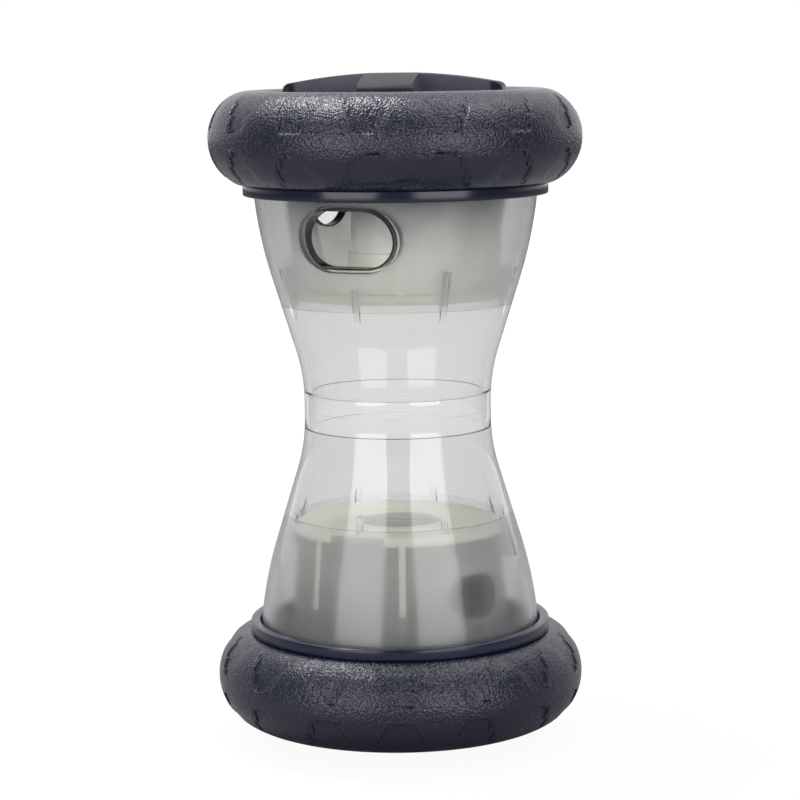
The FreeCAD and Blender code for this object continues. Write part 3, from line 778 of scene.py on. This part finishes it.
def makeCap():
    low = hub["top"] + cap["rimGap"]
    arc = cap["shoulder"]
    shoulder = cap["radius"] - arc
    centre = domeHeight(shoulder) - arc
    bore = cap["skirt"] - cap["skirtWall"]
    hollow = cap["floor"] - cap["floorThick"]
    points = [(0, hollow), (bore, hollow), (bore, cap["skirtEnd"]), (cap["skirt"], cap["skirtEnd"]),
              (cap["skirt"], low), (cap["radius"], low)]
    for bend in heights(0, math.pi / 2, cap["shoulderSteps"]):      # from the rim wall over to the dome
        points.append((shoulder + arc * math.cos(bend), centre + arc * math.sin(bend)))
    for radius in heights(shoulder - cap["domeStart"], cap["flat"], cap["domeSteps"]):
        points.append((radius, domeHeight(radius)))
    points.append((0, cap["crown"]))
    piece = turnOutline("cap", points, cap["steps"])
    wide = cap["radius"] + cap["margin"]
    top = cap["crown"] + cap["margin"]
    pockets = turnOutline("pockets", [(0, cap["floor"]), (cap["pocket"], cap["floor"]),
                                      (cap["pocket"], cap["rim"]), (wide, cap["rim"]), (wide, top),
                                      (0, top)], cap["steps"])
    arm = (cap["arm"], cap["armLong"] * wide, cap["armTall"])
    for angle in (0, 90):
        deselectAll()
        bpy.ops.mesh.primitive_cube_add(size=1, scale=arm, location=(0, 0, cap["rim"]))
        bpy.ops.object.transform_apply(location=True, rotation=True, scale=True)
        carve(pockets, turned(bpy.context.object, angle), "DIFFERENCE")
    carve(piece, turned(pockets, cap["turn"]), "DIFFERENCE")
    return smoothed(roundEdges(piece, cap["edge"], 3, 50), 40)


print("caps")
seatAtEnds({"Cap": (makeCap(), materials["grip"])}, "cap", "selector")

# Small fitted pieces keep their own solids
print("liners and seals")
fitted = {"port_liner": "liner", "flap_gate": "gate", "small_liner": "liner", "gasket": "seal",
          "cap_ring": "seal"}
for end in ("upper", "lower"):
    for name, finish in fitted.items():
        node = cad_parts[end + "_" + name]
        node.data.materials.clear()
        node.data.materials.append(materials[finish])

# Studio
studio = {"focal": 111.94, "sensor": 36, "camera": (0.0, -0.73685, 0.10732), "pitch": 0.1649, "roll": -0.0106,
          "shift": (0.0021, 0.072), "nearest": 0.05, "floorSize": 8, "floorDrop": 0.0002, "floorRough": 0.9,
          "floorDark": (0.29, 0.29, 0.30, 1), "floorPale": (0.31, 0.31, 0.32, 1), "floorPatches": 6.0,
          "floorGlow": 1.10, "floorMix": 0.86, "floorNear": 0.14, "floorFar": 0.45, "white": (1, 1, 1, 1),
          "front": (0.15, 0.15, 0.165, 1), "behind": (0.9, 0.9, 0.92, 1), "turnover": 0.7}


def addCamera():
    deselectAll()
    place = studio["camera"]
    bpy.ops.object.camera_add(location=(place[0], place[1], waist + place[2]))
    camera = bpy.context.object
    camera.rotation_mode = "ZYX"
    camera.rotation_euler = (math.pi / 2 - studio["pitch"], 0, studio["roll"])
    camera.data.lens = studio["focal"]
    camera.data.sensor_width = studio["sensor"]
    camera.data.shift_x, camera.data.shift_y = studio["shift"]
    camera.data.clip_start = studio["nearest"]
    bpy.context.scene.camera = camera


def addSoftbox(name, look):
    azimuth, elevation = (math.radians(look[key]) for key in ("azimuth", "elevation"))
    wide, tall = look["size"]
    flat = look["distance"] * math.cos(elevation)
    rise = look["distance"] * math.sin(elevation)
    place = (flat * math.sin(azimuth), -flat * math.cos(azimuth), waist + rise)
    deselectAll()
    bpy.ops.object.light_add(type="AREA", location=place, rotation=(math.pi / 2 - elevation, 0, azimuth))
    lamp = bpy.context.object
    lamp.name = name
    lamp.data.shape = "RECTANGLE"
    lamp.data.size = wide
    lamp.data.size_y = tall
    lamp.data.energy = look["glow"] * math.pi * wide * tall


def addFloor():
    deselectAll()
    bpy.ops.mesh.primitive_plane_add(size=studio["floorSize"], location=(0, 0, -studio["floorDrop"]))
    floor = bpy.context.object
    floor.name = "floor"
    finish = Finish("paleFloor", Roughness=studio["floorRough"])
    patches = finish.noise(studio["floorPatches"])
    finish.set("Base Color", finish.colourMix(patches, studio["floorDark"], studio["floorPale"]))
    glow = finish.node("ShaderNodeEmission", {}, {"Color": studio["white"], "Strength": studio["floorGlow"]})
    rays = finish.node("ShaderNodeLightPath").outputs
    seen = Signal(finish, rays["Is Camera Ray"]) + Signal(finish, rays["Is Transmission Ray"])
    away = finish.ramp(finish.fromAxis(), studio["floorNear"], studio["floorFar"])
    share = away * (1 - studio["floorMix"]) + studio["floorMix"]
    finish.blend(seen * share, finish.shader, glow)
    floor.data.materials.append(finish.material)


def setWorld():                                     # white to look at, dimmer in reflections from the front
    world = bpy.data.worlds.new("studio")
    bpy.context.scene.world = world
    world.use_nodes = True
    sky = Nodes(world.node_tree)
    rays = sky.node("ShaderNodeLightPath").outputs
    seen = sky.maths("MAXIMUM", rays["Is Camera Ray"], rays["Is Transmission Ray"])
    aim = sky.node("ShaderNodeSeparateXYZ", {}, {0: sky.node("ShaderNodeTexCoord").outputs["Generated"]})
    towardsBack = sky.ramp(aim.outputs["Y"], 0.0, studio["turnover"])
    shade = sky.colourMix(towardsBack, studio["front"], studio["behind"])
    dim = sky.node("ShaderNodeBackground", {}, {"Color": shade})
    white = sky.node("ShaderNodeBackground", {}, {"Color": studio["white"]})
    sky.node("ShaderNodeOutputWorld", {}, {"Surface": sky.shaderMix(seen, dim, white).outputs[0]})


print("studio")
addCamera()
setWorld()
addFloor()
softboxes = {
    "leftSoftbox": {"azimuth": -34, "elevation": 10, "distance": 0.9, "size": (0.65, 0.54), "glow": 3.0},
    "rightSoftbox": {"azimuth": 34, "elevation": 10, "distance": 0.9, "size": (0.65, 0.54), "glow": 3.0},
    "topLeftSoftbox": {"azimuth": -90, "elevation": 64, "distance": 1.0, "size": (1.0, 0.6), "glow": 2.8},
    "topCore": {"azimuth": -121, "elevation": 71, "distance": 1.0, "size": (0.34, 0.22), "glow": 22.0},
    "topRightSoftbox": {"azimuth": 90, "elevation": 64, "distance": 1.0, "size": (1.0, 0.6), "glow": 2.6},
}
for name, look in softboxes.items():
    addSoftbox(name, look)
bpy.context.scene.view_settings.view_transform = "Standard"

bpy.context.view_layer.update()
print("finished")
